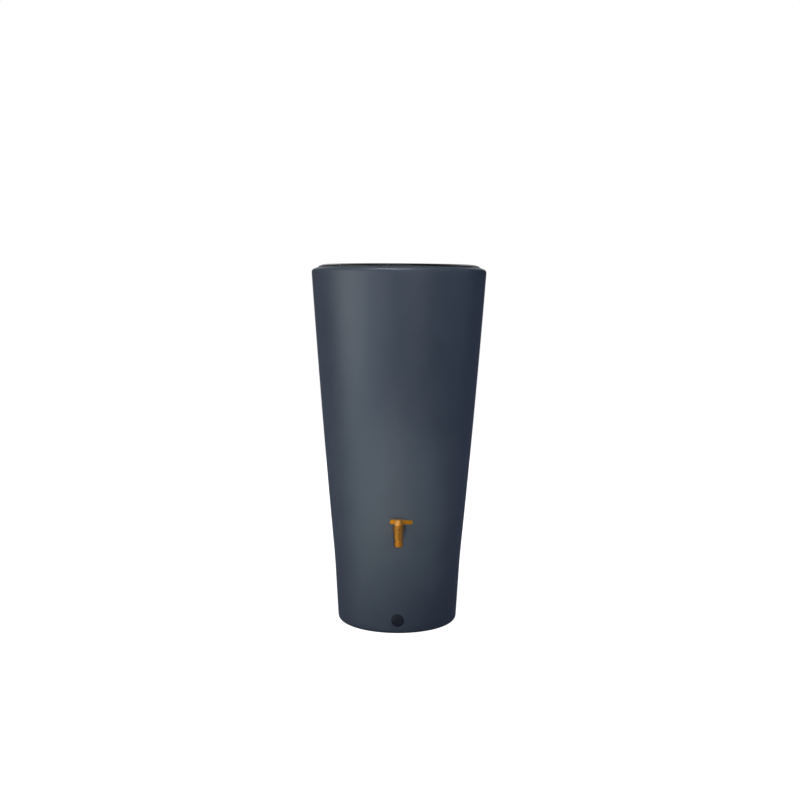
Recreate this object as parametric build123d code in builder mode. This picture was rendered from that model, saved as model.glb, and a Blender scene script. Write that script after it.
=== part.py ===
from build123d import *
import os

# A tall tapered rain barrel whose mouth holds a lift-out planter bowl.
# Its lever tap and drain plug are at the front, and the filling hose joins it at the rear.
# Millimetres. The origin is the middle of the foot on the ground, +Z is up and the tap faces -Y.

# ---------------------------------------------------------------- driving dimensions

# Clearances
running_gap = 0.05  # between a turning piece and the bore that carries it
thread_gap = 0.1  # between a screwed piece and its thread, which are both plain cylinders here
rest_gap = 0.3  # between pieces that only rest on each other and lift or turn apart

# Barrel shell, one hollow moulding of even wall
foot_radius = 200.4  # where the wall would meet the ground
knee_radius = 212.9  # where the steep foot turns into the long flaring wall
knee_height = 215
knee_round = 2500
top_radius = 291  # where the wall would meet the shoulder
corner_height = 1181
wall_bulge = 3  # how far the long wall swells past a straight line
wall_runs = 4  # cones that make up the swell
wall = 5
foot_round = 12
corner_round = 12
base_rise = 10  # the middle of the base stands clear of the ground
base_panel_radius = 150
base_ramp = 16
mouth_margin = 39  # from the wall's corner in to the mouth
mouth_round = 7
land_rise = 9.5  # from the wall's corner up to the flat land round the mouth, which carries the bowl
land_width = 16
collar_depth = 34  # the mouth's edge is turned down into the barrel
lug_count = 4  # small lugs on the land that stop the bowl from turning
lug_angle = 45
lug_length = 12
lug_width = 6
lug_height = 4

# Planter bowl
bowl_mouth_gap = 3  # loose fit in the mouth, so that the bowl lifts out easily
bowl_wall = 4
bowl_depth = 165
bowl_taper = 23  # how much narrower the bowl's floor is than its mouth
bowl_floor_round = 24
lip_inset = 1  # the lip ends this far inside the land's outer edge
lip_height = 8
lip_edge = 2.5  # height of the lip at its outer edge, from where it slopes up to its crown
lip_slope_width = 15
lip_inner_round = 3
lip_rim = 10  # edge left round the hollow under the lip
lip_skin = 5
notch_gap = 1  # round each lug
strainer_radius = 24
strainer_wall = 2.5
strainer_flange = 7
strainer_flange_height = 2.5
strainer_depth = 14
strainer_slots = 12
strainer_slot_width = 3
strainer_slot_length = 11
strainer_slot_circle = 14

# Tap: threads, bush and washer in the wall
tap_height = 352
tap_pad_radius = 23
tap_boss_depth = 16
tap_bush_radius = 17
tap_thread_radius = 13.2
tap_tail_length = 14
tap_washer_radius = 19
tap_washer_height = 2.5

# Tap: body, an upright column on a short level pipe
tap_reach = 60  # from the wall to the column's axis
rosette_radius = 17.5
rosette_height = 5
pipe_radius = 12
pipe_bore = 8
column_radius = 15
column_rise = 14  # above the pipe's axis
column_drop = 21  # below it
column_round = 1.5
socket_radius = 10.5  # thread for the headwork
socket_depth = 9
chamber_radius = 12
seat_drop = 8  # the valve seat, below the pipe's axis
seat_web = 4
seat_bore = 5
nozzle_socket_radius = 10

# Tap: headwork, which holds the two ceramic discs
collar_radius = 17
collar_height = 10
collar_round = 1
headwork_gasket_height = 1
cage_radius = 9.6
disc_radius = 7.4
disc_height = 3
disc_web = 1.6  # left across the middle of each disc's two openings
seat_seal_height = 2
seat_seal_radius = 6.9
spindle_radius = 4.5
spindle_foot_height = 2.5
tongue_width = 2.4
tongue_height = 1
square_width = 6
square_length = 12
screw_radius = 2
screw_length = 10
ring_section = 0.7  # radius of the round section of the spindle's rings
ring_squeeze = 0.05
ring_spacing = 4
clip_height = 0.8
clip_width = 1.8
clip_groove = 0.6

# Tap: lever, its screw and its cap
hub_radius = 15.5
hub_top_radius = 11.5  # the hub tapers from its foot up to here
hub_height = 20
hub_round = 1.5
hub_recess_height = 2
bar_long_end = 44
bar_short_end = 28
bar_depth = 11
bar_height = 15
bar_fall = 3  # the top edge of the bar falls towards its long end
bar_lift = 5  # from the bottom of the hub to the bottom of the bar
bar_long_round = 4  # corners of each end, seen from the front
bar_short_round = 7
bar_edge = 1.5
screw_head_radius = 4
screw_head_height = 2.6
cap_radius = 6
cap_height = 1.8

# Tap: hose nozzle
nozzle_thread_radius = 13.2
nozzle_length = 18
nozzle_neck_radius = 11.5
nozzle_neck_height = 3
nozzle_bore = 7
nozzle_gasket_height = 1.5
nozzle_chamfer = 1.2

# Drain
drain_height = 45
drain_recess = 5
drain_pad_radius = 20
drain_boss_depth = 14
drain_bush_radius = 14
drain_thread_radius = 10.9
drain_thread_length = 12
drain_seal_radius = 15.5
drain_seal_height = 2
plug_radius = 17.5
plug_height = 5
plug_round = 1.5
grip_radius = 12
grip_wall = 2.5
grip_height = 3
grip_bar = 4

# Filling hose connection
inlet_height = 975
inlet_pad_radius = 32
inlet_pad_depth = 8
inlet_thread_radius = 17
inlet_thread_length = 26
inlet_bore = 12.5
inlet_seal_radius = 26
inlet_seal_height = 3
inlet_flange_radius = 27
inlet_flange_height = 4
inlet_nut_radius = 26
inlet_nut_height = 8
inlet_nut_lugs = 8
inlet_nut_lug_depth = 2
hose_radius = 16
hose_length = 40
barb_height = 1
barb_length = 8
barb_ramp = 5
barb_count = 3

# ---------------------------------------------------------------- shared lines and places

FRONT = -1
REAR = 1


def wall_point(share):
    """Radius and height of the long wall's outside, from 0 at the knee to 1 at the shoulder."""
    swell = 4 * wall_bulge * share * (1 - share)
    radius = knee_radius + (top_radius - knee_radius) * share + swell
    return (radius, knee_height + (corner_height - knee_height) * share)


with BuildLine():
    main_wall = Polyline(*[wall_point(run / wall_runs) for run in range(wall_runs + 1)])
    foot_wall = Line(wall_point(0), (foot_radius, 0))


def wall_radius(height):
    """Outside radius of the barrel at a height above the ground."""
    level = Edge.make_line((0, height), (2 * top_radius, height))
    wall_part = main_wall if height > knee_height else foot_wall
    return wall_part.intersect(level)[0].X


def wall_plane(height, facing, depth=0):
    """Upright plane in the wall at a height, its own z axis pointing out of the barrel."""
    origin = (0, facing * (wall_radius(height) - depth), height)
    return Plane(origin=origin, x_dir=(-facing, 0, 0), z_dir=(0, facing, 0))


def corner(radius, height):
    """Test for the vertices of a section at a radius and a height, on both sides of the axis."""
    return lambda vertex: abs(abs(vertex.X) - radius) < 0.001 and abs(vertex.Y - height) < 0.001


tap_plane = wall_plane(tap_height, FRONT)
drain_plane = wall_plane(drain_height, FRONT, drain_recess)
inlet_plane = wall_plane(inlet_height, REAR)

land_height = corner_height + land_rise
mouth_radius = top_radius - mouth_margin
land_radius = mouth_radius + land_width
lug_radius = land_radius - lug_width / 2

# The tap's column, seen from the front: x across, y up, turned about its own upright axis
column_axis_y = tap_plane.origin.Y - tap_reach
column_plane = Plane(origin=(0, column_axis_y, 0), x_dir=(1, 0, 0), z_dir=(0, -1, 0))
column_axis = Axis((0, column_axis_y, 0), (0, 0, 1))
column_top = tap_height + column_rise
column_bottom = tap_height - column_drop
seat_height = tap_height - seat_drop
nozzle_socket_top = seat_height - seat_web

# Heights of the stack in the column, from the seat up
fixed_disc_bottom = seat_height + seat_seal_height
turning_disc_bottom = fixed_disc_bottom + disc_height + running_gap
spindle_bottom = turning_disc_bottom + disc_height
spindle_shoulder = spindle_bottom + spindle_foot_height
collar_bottom = column_top + headwork_gasket_height
collar_top = collar_bottom + collar_height
hub_bottom = collar_top + rest_gap
hub_top = hub_bottom + hub_height
square_top = collar_top + square_length
cap_bottom = hub_top - cap_height
screw_seat = square_top + rest_gap + screw_head_height
screw_tip = square_top - screw_length + rest_gap


def ring(inner, outer, bottom, height):
    """Adds an upright ring round the column's axis to the part being built."""
    with BuildSketch(Plane(origin=(0, column_axis_y, bottom))) as face:
        Circle(outer)
        if inner > 0:
            Circle(inner, mode=Mode.SUBTRACT)
    extrude(face.sketch, amount=height)


def column_bore(radius, bottom, top):
    """Cuts a round hole on the column's axis out of the part being built."""
    with BuildSketch(Plane(origin=(0, column_axis_y, bottom))) as face:
        Circle(radius)
    extrude(face.sketch, amount=top - bottom, mode=Mode.SUBTRACT)


def disc_on(plane, radius, amount, mode=Mode.ADD):
    """Extrudes a circle on a plane, outwards for a positive amount."""
    with BuildSketch(plane) as face:
        Circle(radius)
    extrude(face.sketch, amount=amount, mode=mode)


# ---------------------------------------------------------------- barrel

with BuildPart() as barrel_shell:
    with BuildSketch(Plane.XZ) as barrel_section:
        with BuildLine():
            add(main_wall)
            add(foot_wall)
            Polyline(
                (foot_radius, 0),
                (base_panel_radius + base_ramp, 0),
                (base_panel_radius, base_rise),
                (0, base_rise),
            )
            Polyline(
                (top_radius, corner_height),
                (land_radius, land_height),
                (mouth_radius, land_height),
                (mouth_radius, land_height - collar_depth),
                (0, land_height - collar_depth),
            )
            mirror(about=Plane.YZ)
        make_face()
        fillet(barrel_section.vertices().filter_by(corner(foot_radius, 0)), foot_round)
        fillet(barrel_section.vertices().filter_by(corner(knee_radius, knee_height)), knee_round)
        fillet(barrel_section.vertices().filter_by(corner(top_radius, corner_height)), corner_round)
        fillet(barrel_section.vertices().filter_by(corner(mouth_radius, land_height)), mouth_round)
        offset(amount=-wall, mode=Mode.SUBTRACT)
        split(bisect_by=Plane.YZ)
    revolve(axis=Axis.Z)
    # The panel that closed the mouth in the mould is cut away
    with BuildSketch(Plane.XY.offset(land_height - collar_depth)):
        Circle(mouth_radius)
    extrude(amount=-wall, mode=Mode.SUBTRACT)
    # Flat pads in the curved wall, each with its boss inside and its recess outside
    disc_on(tap_plane, tap_pad_radius, -tap_boss_depth)
    disc_on(tap_plane, tap_pad_radius, wall, Mode.SUBTRACT)
    disc_on(tap_plane, tap_bush_radius, -tap_boss_depth, Mode.SUBTRACT)
    disc_on(drain_plane, drain_pad_radius, -drain_boss_depth)
    disc_on(drain_plane, drain_pad_radius, drain_recess + wall, Mode.SUBTRACT)
    disc_on(drain_plane, drain_bush_radius, -drain_boss_depth, Mode.SUBTRACT)
    disc_on(inlet_plane, inlet_pad_radius, -inlet_pad_depth)
    disc_on(inlet_plane, inlet_pad_radius, wall, Mode.SUBTRACT)
    disc_on(inlet_plane, inlet_thread_radius + thread_gap, -inlet_pad_depth, Mode.SUBTRACT)
    with Locations((0, 0, land_height)):
        with PolarLocations(lug_radius, lug_count, start_angle=lug_angle):
            Box(lug_width, lug_length, lug_height, align=(Align.CENTER, Align.CENTER, Align.MIN))

# ---------------------------------------------------------------- planter bowl

bowl_rest = land_height + rest_gap
bowl_radius = mouth_radius - bowl_mouth_gap
bowl_bottom = bowl_rest - bowl_depth
bowl_floor_radius = bowl_radius - bowl_taper
lip_radius = land_radius - lip_inset
lip_crown_radius = lip_radius - lip_slope_width
lip_top = bowl_rest + lip_height

with BuildPart() as planter_bowl:
    with BuildSketch(Plane.XZ) as bowl_section:
        with BuildLine():
            Polyline(
                (-bowl_floor_radius, bowl_bottom),
                (bowl_floor_radius, bowl_bottom),
                (bowl_radius, bowl_rest),
                (-bowl_radius, bowl_rest),
                close=True,
            )
        make_face()
        fillet(bowl_section.vertices().filter_by(corner(bowl_floor_radius, bowl_bottom)), bowl_floor_round)
        offset(amount=-bowl_wall, mode=Mode.SUBTRACT)
        split(bisect_by=Plane.YZ)
    revolve(axis=Axis.Z)
    with BuildSketch(Plane.XY.offset(bowl_rest)):
        Circle(bowl_radius)
    extrude(amount=-bowl_wall, mode=Mode.SUBTRACT)
    with BuildSketch(Plane.XZ) as lip_section:
        with BuildLine():
            Polyline(
                (bowl_radius - bowl_wall, bowl_rest),
                (lip_radius, bowl_rest),
                (lip_radius, bowl_rest + lip_edge),
                (lip_crown_radius, lip_top),
                (bowl_radius - bowl_wall, lip_top),
                close=True,
            )
        make_face()
        fillet(lip_section.vertices().filter_by(corner(bowl_radius - bowl_wall, lip_top)), lip_inner_round)
        with Locations((bowl_radius, bowl_rest)):
            Rectangle(
                lip_radius - bowl_radius - lip_rim,
                lip_height - lip_skin,
                align=(Align.MIN, Align.MIN),
                mode=Mode.SUBTRACT,
            )
    revolve(axis=Axis.Z)
    with BuildSketch(Plane.XZ):
        with Locations((bowl_radius - bowl_wall, bowl_rest - bowl_wall)):
            Rectangle(bowl_wall, bowl_wall, align=(Align.MIN, Align.MIN))
    revolve(axis=Axis.Z)
    with Locations((0, 0, bowl_rest)):
        with PolarLocations(lug_radius, lug_count, start_angle=lug_angle):
            Box(
                lug_width + 2 * notch_gap,
                lug_length + 2 * notch_gap,
                lip_height,
                align=(Align.CENTER, Align.CENTER, Align.MIN),
                mode=Mode.SUBTRACT,
            )
    with BuildSketch(Plane.XY.offset(bowl_bottom)):
        Circle(strainer_radius)
    extrude(amount=bowl_wall, mode=Mode.SUBTRACT)

with BuildPart() as planter_strainer:
    strainer_top = bowl_bottom + bowl_wall + strainer_flange_height
    with BuildSketch(Plane.XY.offset(bowl_bottom + bowl_wall)):
        Circle(strainer_radius + strainer_flange)
    extrude(amount=strainer_flange_height)
    fillet(planter_strainer.edges().group_by(Axis.Z)[-1], strainer_flange_height / 2)
    with BuildSketch(Plane.XY.offset(bowl_bottom + bowl_wall)):
        Circle(strainer_radius - rest_gap)
        Circle(strainer_radius - rest_gap - strainer_wall, mode=Mode.SUBTRACT)
    extrude(amount=-strainer_depth)
    with BuildSketch(Plane.XY.offset(strainer_top)):
        with PolarLocations(strainer_slot_circle, strainer_slots):
            SlotOverall(strainer_slot_length, strainer_slot_width)
    extrude(amount=-strainer_flange_height, mode=Mode.SUBTRACT)

# ---------------------------------------------------------------- tap

with BuildPart() as tap_bush:
    disc_on(tap_plane, tap_bush_radius, -tap_boss_depth)
    disc_on(tap_plane, tap_thread_radius + thread_gap, -tap_boss_depth, Mode.SUBTRACT)

with BuildPart() as tap_washer:
    disc_on(tap_plane, tap_washer_radius, tap_washer_height)
    disc_on(tap_plane, tap_thread_radius + thread_gap, tap_washer_height, Mode.SUBTRACT)

with BuildPart() as tap_body:
    disc_on(tap_plane, tap_thread_radius, -tap_tail_length)
    disc_on(tap_plane, tap_thread_radius, tap_washer_height)
    disc_on(tap_plane.offset(tap_washer_height), rosette_radius, rosette_height)
    disc_on(tap_plane, pipe_radius, tap_reach)
    with BuildSketch(column_plane) as column_section:
        with Locations((0, column_bottom)):
            Rectangle(column_radius, column_top - column_bottom, align=(Align.MIN, Align.MIN))
        fillet(column_section.vertices().filter_by(corner(column_radius, column_bottom)), column_round)
    revolve(axis=column_axis)
    disc_on(tap_plane.offset(-tap_tail_length), pipe_bore, tap_tail_length + tap_reach, Mode.SUBTRACT)
    column_bore(socket_radius, column_top - socket_depth, column_top)
    column_bore(chamber_radius, seat_height, column_top - socket_depth)
    column_bore(seat_bore, nozzle_socket_top, seat_height)
    column_bore(nozzle_socket_radius, column_bottom, nozzle_socket_top)

with BuildPart() as headwork_gasket:
    ring(socket_radius, column_radius, column_top, headwork_gasket_height)

cage_bore = disc_radius + running_gap

with BuildPart() as headwork:
    ring(0, cage_radius, fixed_disc_bottom, column_top - fixed_disc_bottom)
    ring(0, socket_radius - thread_gap, column_top - socket_depth, socket_depth + headwork_gasket_height)
    with BuildSketch(column_plane) as collar_section:
        with Locations((0, collar_bottom)):
            Rectangle(collar_radius, collar_height, align=(Align.MIN, Align.MIN))
        fillet(collar_section.vertices().filter_by(corner(collar_radius, collar_bottom)), collar_round)
        fillet(collar_section.vertices().filter_by(corner(collar_radius, collar_top)), collar_round)
    revolve(axis=column_axis)
    column_bore(cage_bore, fixed_disc_bottom, spindle_shoulder + running_gap)
    column_bore(spindle_radius + running_gap, spindle_shoulder, collar_top)
    # Two windows let the water in from both sides of the turning disc
    with BuildSketch(Plane(origin=(0, column_axis_y, turning_disc_bottom))):
        Rectangle(2 * cage_radius, disc_radius)
    extrude(amount=disc_height, mode=Mode.SUBTRACT)

with BuildPart() as seat_seal:
    ring(seat_bore, seat_seal_radius, seat_height, seat_seal_height)

with BuildPart() as fixed_disc:
    ring(0, disc_radius, fixed_disc_bottom, disc_height)
    with BuildSketch(Plane(origin=(0, column_axis_y, fixed_disc_bottom))):
        Circle(seat_bore)
        Rectangle(2 * seat_bore, 2 * disc_web, mode=Mode.SUBTRACT)
    extrude(amount=disc_height, mode=Mode.SUBTRACT)

with BuildPart() as turning_disc:
    ring(0, disc_radius - running_gap, turning_disc_bottom, disc_height)
    # Cut away on two sides, across the fixed disc's openings while the tap is shut
    with BuildSketch(Plane(origin=(0, column_axis_y, turning_disc_bottom))):
        with Locations((seat_bore, 0), (-seat_bore, 0)):
            Rectangle(2 * (seat_bore - disc_web), 2 * disc_web)
    extrude(amount=disc_height, mode=Mode.SUBTRACT)
    with BuildSketch(Plane(origin=(0, column_axis_y, spindle_bottom))):
        Rectangle(tongue_width + 2 * thread_gap, 2 * disc_radius)
    extrude(amount=-tongue_height - thread_gap, mode=Mode.SUBTRACT)

with BuildPart() as spindle:
    ring(0, disc_radius - running_gap, spindle_bottom, spindle_foot_height)
    with BuildSketch(Plane(origin=(0, column_axis_y, spindle_bottom))):
        Rectangle(tongue_width, 2 * spindle_radius)
    extrude(amount=-tongue_height)
    ring(0, spindle_radius, spindle_shoulder, collar_top + clip_height + 2 * thread_gap - spindle_shoulder)
    with BuildSketch(Plane(origin=(0, column_axis_y, collar_top))):
        Rectangle(square_width, square_width)
    extrude(amount=square_length)
    column_bore(screw_radius + thread_gap, square_top - screw_length, square_top)
    ring_levels = [collar_bottom + step * ring_spacing for step in (0, 1)]
    for level in ring_levels:
        with BuildSketch(Plane(origin=(0, column_axis_y, level - ring_section))):
            Circle(spindle_radius)
            Circle(spindle_radius - 2 * ring_section, mode=Mode.SUBTRACT)
        extrude(amount=2 * ring_section, mode=Mode.SUBTRACT)
    with BuildSketch(Plane(origin=(0, column_axis_y, collar_top + thread_gap))):
        Circle(spindle_radius)
        Circle(spindle_radius - clip_groove, mode=Mode.SUBTRACT)
    extrude(amount=clip_height, mode=Mode.SUBTRACT)

with BuildPart() as spindle_rings:
    with BuildSketch(column_plane):
        with Locations(*[(spindle_radius - ring_section, level) for level in ring_levels]):
            Circle(ring_section - ring_squeeze)
    revolve(axis=column_axis)

with BuildPart() as spindle_clip:
    ring(spindle_radius - clip_groove, spindle_radius + clip_width, collar_top + thread_gap, clip_height)
    with BuildSketch(Plane(origin=(0, column_axis_y, collar_top + thread_gap))):
        with Locations((0, -spindle_radius)):
            Rectangle(spindle_radius, 2 * spindle_radius)
    extrude(amount=clip_height, mode=Mode.SUBTRACT)

with BuildPart() as tap_lever:
    with BuildSketch(column_plane) as bar_face:
        with BuildLine():
            bar_bottom = hub_bottom + bar_lift
            Polyline(
                (-bar_short_end, bar_bottom),
                (bar_long_end, bar_bottom),
                (bar_long_end, bar_bottom + bar_height - bar_fall),
                (0, bar_bottom + bar_height),
                (-bar_short_end, bar_bottom + bar_height),
                close=True,
            )
        make_face()
        fillet(bar_face.vertices().filter_by(lambda vertex: vertex.X > hub_radius), bar_long_round)
        fillet(bar_face.vertices().filter_by(lambda vertex: vertex.X < -hub_radius), bar_short_round)
    extrude(amount=bar_depth / 2, both=True)
    fillet(tap_lever.edges().filter_by_position(Axis.Y, *[column_axis_y - bar_depth / 2] * 2), bar_edge)
    fillet(tap_lever.edges().filter_by_position(Axis.Y, *[column_axis_y + bar_depth / 2] * 2), bar_edge)
    with BuildSketch(column_plane) as hub_section:
        with BuildLine():
            Polyline((0, hub_top), (0, hub_bottom), (hub_radius, hub_bottom))
            Line((hub_radius, hub_bottom), (hub_top_radius, hub_top))
            Line((hub_top_radius, hub_top), (0, hub_top))
        make_face()
        fillet(hub_section.vertices().filter_by(corner(hub_radius, hub_bottom)), hub_round)
        fillet(hub_section.vertices().filter_by(corner(hub_top_radius, hub_top)), hub_round)
    revolve(axis=column_axis)
    column_bore(spindle_radius + clip_width + rest_gap, hub_bottom, hub_bottom + hub_recess_height)
    with BuildSketch(Plane(origin=(0, column_axis_y, hub_bottom))):
        Rectangle(square_width + 2 * thread_gap, square_width + 2 * thread_gap)
    extrude(amount=square_top + rest_gap - hub_bottom, mode=Mode.SUBTRACT)
    column_bore(screw_radius + thread_gap, square_top, screw_seat)
    column_bore(screw_head_radius + rest_gap, screw_seat, hub_top)
    column_bore(cap_radius + thread_gap, cap_bottom, hub_top)

with BuildPart() as lever_screw:
    ring(0, screw_head_radius, screw_seat, screw_head_height)
    ring(0, screw_radius, screw_tip, screw_seat - screw_tip)
    with BuildSketch(Plane(origin=(0, column_axis_y, screw_seat + screw_head_height))):
        RegularPolygon(screw_radius, 6)
    extrude(amount=-screw_head_height / 2, mode=Mode.SUBTRACT)

with BuildPart() as lever_cap:
    ring(0, cap_radius, cap_bottom, cap_height)
    chamfer(lever_cap.edges().group_by(Axis.Z)[-1], cap_height / 4)

nozzle_top = nozzle_socket_top - nozzle_gasket_height
thread_top = column_bottom - nozzle_neck_height
nozzle_tip = thread_top - nozzle_length

with BuildPart() as nozzle_gasket:
    ring(nozzle_bore, nozzle_socket_radius - thread_gap, nozzle_top, nozzle_gasket_height)

with BuildPart() as hose_nozzle:
    with BuildSketch(column_plane) as thread_section:
        with Locations((0, nozzle_tip)):
            Rectangle(nozzle_thread_radius, nozzle_length, align=(Align.MIN, Align.MIN))
        chamfer(thread_section.vertices().filter_by(corner(nozzle_thread_radius, nozzle_tip)), nozzle_chamfer)
        chamfer(thread_section.vertices().filter_by(corner(nozzle_thread_radius, thread_top)), nozzle_chamfer)
    revolve(axis=column_axis)
    ring(0, nozzle_neck_radius, thread_top, nozzle_neck_height)
    ring(0, nozzle_socket_radius - thread_gap, column_bottom, nozzle_top - column_bottom)
    column_bore(nozzle_bore, nozzle_tip, nozzle_top)

# ---------------------------------------------------------------- drain

with BuildPart() as drain_bush:
    disc_on(drain_plane, drain_bush_radius, -drain_boss_depth)
    disc_on(drain_plane, drain_thread_radius + thread_gap, -drain_boss_depth, Mode.SUBTRACT)

seal_plane = drain_plane.offset(rest_gap)
plug_plane = seal_plane.offset(drain_seal_height + rest_gap)

with BuildPart() as drain_seal:
    disc_on(seal_plane, drain_seal_radius, drain_seal_height)
    disc_on(seal_plane, drain_thread_radius + rest_gap, drain_seal_height, Mode.SUBTRACT)

with BuildPart() as drain_plug:
    disc_on(plug_plane, plug_radius, plug_height)
    fillet(drain_plug.edges().group_by(Axis.Y)[0], plug_round)
    disc_on(plug_plane, drain_thread_radius, -drain_thread_length)
    with BuildSketch(plug_plane.offset(plug_height)):
        Circle(grip_radius)
        Circle(grip_radius - grip_wall, mode=Mode.SUBTRACT)
        Rectangle(2 * grip_radius - grip_wall, grip_bar)
    extrude(amount=grip_height)

# ---------------------------------------------------------------- filling hose connection

with BuildPart() as inlet_seal:
    disc_on(inlet_plane, inlet_seal_radius, inlet_seal_height)
    disc_on(inlet_plane, inlet_thread_radius + thread_gap, inlet_seal_height, Mode.SUBTRACT)

inlet_flange_plane = inlet_plane.offset(inlet_seal_height)
hose_plane = inlet_flange_plane.offset(inlet_flange_height)

with BuildPart() as inlet_spigot:
    disc_on(inlet_flange_plane, inlet_flange_radius, inlet_flange_height)
    disc_on(inlet_flange_plane, inlet_thread_radius, -inlet_thread_length)
    disc_on(hose_plane, hose_radius - barb_height, hose_length)
    disc_on(hose_plane, hose_radius, hose_length - barb_count * barb_length)
    for step in range(barb_count):
        barb_plane = hose_plane.offset(hose_length - step * barb_length)
        with BuildSketch(barb_plane):
            Circle(hose_radius - barb_height)
        with BuildSketch(barb_plane.offset(-barb_ramp)):
            Circle(hose_radius)
        loft()
        disc_on(barb_plane.offset(-barb_ramp), hose_radius, barb_ramp - barb_length)
    disc_on(hose_plane.offset(hose_length), inlet_bore, -hose_length, Mode.SUBTRACT)
    disc_on(hose_plane, inlet_bore, -inlet_flange_height - inlet_thread_length, Mode.SUBTRACT)

with BuildPart() as inlet_nut:
    with BuildSketch(inlet_plane.offset(-inlet_pad_depth)):
        Circle(inlet_nut_radius)
        Circle(inlet_thread_radius + thread_gap, mode=Mode.SUBTRACT)
        with PolarLocations(inlet_nut_radius, inlet_nut_lugs):
            Circle(inlet_nut_lug_depth, mode=Mode.SUBTRACT)
    extrude(amount=-inlet_nut_height)

# ---------------------------------------------------------------- output

pieces = {
    "barrel_shell": barrel_shell,
    "planter_bowl": planter_bowl,
    "planter_strainer": planter_strainer,
    "tap_bush": tap_bush,
    "tap_washer": tap_washer,
    "tap_body": tap_body,
    "headwork_gasket": headwork_gasket,
    "headwork": headwork,
    "seat_seal": seat_seal,
    "fixed_disc": fixed_disc,
    "turning_disc": turning_disc,
    "spindle": spindle,
    "spindle_rings": spindle_rings,
    "spindle_clip": spindle_clip,
    "tap_lever": tap_lever,
    "lever_screw": lever_screw,
    "lever_cap": lever_cap,
    "nozzle_gasket": nozzle_gasket,
    "hose_nozzle": hose_nozzle,
    "drain_bush": drain_bush,
    "drain_seal": drain_seal,
    "drain_plug": drain_plug,
    "inlet_seal": inlet_seal,
    "inlet_spigot": inlet_spigot,
    "inlet_nut": inlet_nut,
}

os.makedirs("parts", exist_ok=True)
for name, piece in pieces.items():
    piece.part.label = name
    export_step(piece.part, f"parts/{name}.step")
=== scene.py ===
import logging
import math
from collections.abc import Sequence
from dataclasses import dataclass, field
from enum import Enum

import bpy
from mathutils import Matrix, Vector


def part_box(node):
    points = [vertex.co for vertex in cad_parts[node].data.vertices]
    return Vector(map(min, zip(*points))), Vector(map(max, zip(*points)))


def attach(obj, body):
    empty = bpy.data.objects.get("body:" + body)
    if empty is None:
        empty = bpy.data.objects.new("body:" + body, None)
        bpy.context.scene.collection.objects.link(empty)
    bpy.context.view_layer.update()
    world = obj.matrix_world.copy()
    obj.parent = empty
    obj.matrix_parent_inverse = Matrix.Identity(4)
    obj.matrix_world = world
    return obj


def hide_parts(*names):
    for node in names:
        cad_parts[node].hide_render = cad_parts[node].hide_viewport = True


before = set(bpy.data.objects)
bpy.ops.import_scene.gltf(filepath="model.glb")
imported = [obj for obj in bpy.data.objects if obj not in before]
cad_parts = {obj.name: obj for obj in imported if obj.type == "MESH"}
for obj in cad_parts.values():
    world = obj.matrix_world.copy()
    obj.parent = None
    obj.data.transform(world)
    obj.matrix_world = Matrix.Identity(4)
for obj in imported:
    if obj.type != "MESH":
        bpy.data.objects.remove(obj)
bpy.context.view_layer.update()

MM = 0.001  # one millimetre in metres
ARC_STEP = math.radians(11.0)  # one edge of a rounded corner turns this far at most
SHARP_ANGLE = math.radians(32.0)  # a steeper edge than this is shaded sharp
SAME_POINT = 0.004 * MM  # vertices closer together than this are merged
TURNED_SLIVER = 0.002 * MM  # the shortest edge that a turned piece keeps
FINISHED_SLIVER = 0.001 * MM  # the shortest edge that a finished piece keeps
NOISE_LOW = 0.3  # a noise texture's values lie between these two, but for a few
NOISE_HIGH = 0.7

log = logging.getLogger("rain_barrel")


class Body(Enum):
    """The bodies that a modelled piece moves with."""

    BARREL = "barrel"
    PLANTER = "planter"
    LEVER = "lever"
    PLUG = "plug"


class Slot(Enum):
    """Names of the record's material slots; this script gives no piece one."""

    BARREL = "barrel"
    PLANTER = "planter"
    BRASS = "brass"
    RUBBER = "rubber"
    PLUG = "plug"
    FITTING = "fitting"


class Facing(Enum):
    """Turn about the X axis that points a turned piece's own axis up, at the tap side or at the rear."""

    UP = 0.0
    FRONT = math.pi / 2
    REAR = -math.pi / 2


class Shaping(Enum):
    """How one solid changes another."""

    ADD = "UNION"
    CUT = "DIFFERENCE"


# ---------------------------------------------------------------- modelling


@dataclass(frozen=True)
class Corner:
    """One corner of a turned outline in millimetres: off the axis, along it, and its rounding."""

    radius: float
    height: float
    rounding: float = 0.0


def rounded(corners: Sequence[Corner], closed: bool) -> list[Vector]:
    """Rounds the corners of an outline with tangent arcs.

    Args:
        corners: the outline's corners in order.
        closed: whether the last corner joins the first.

    Returns:
        The outline's points, the first repeated at the end if it is closed.
    """
    places = [Vector((corner.radius, corner.height)) for corner in corners]
    line: list[Vector] = []
    for index, corner in enumerate(corners):
        here = places[index]
        if corner.rounding <= 0:
            line.append(here)
            continue
        arriving = (here - places[index - 1]).normalized()
        leaving = (places[(index + 1) % len(places)] - here).normalized()
        bend = arriving.angle(leaving)
        side = math.copysign(1, arriving.cross(leaving))
        start = here - arriving * corner.rounding * math.tan(bend / 2)
        centre = start + Vector((-arriving.y, arriving.x)) * side * corner.rounding
        pieces = max(2, math.ceil(bend / ARC_STEP))
        for step in range(pieces + 1):
            turn = Matrix.Rotation(side * bend * step / pieces, 2)
            line.append(centre + turn @ (start - centre))
    return line + line[:1] if closed else line


def select_only(*pieces: bpy.types.Object) -> None:
    """Selects these objects alone and makes the first one active.

    Args:
        pieces: the objects.
    """
    bpy.ops.object.select_all(action="DESELECT")
    for piece in pieces:
        piece.select_set(True)
    bpy.context.view_layer.objects.active = pieces[0]


def edit_all(piece: bpy.types.Object) -> None:
    """Goes into edit mode on one piece with everything in it selected.

    Args:
        piece: the piece.
    """
    select_only(piece)
    bpy.ops.object.mode_set(mode="EDIT")
    bpy.ops.mesh.select_all(action="SELECT")


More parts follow.
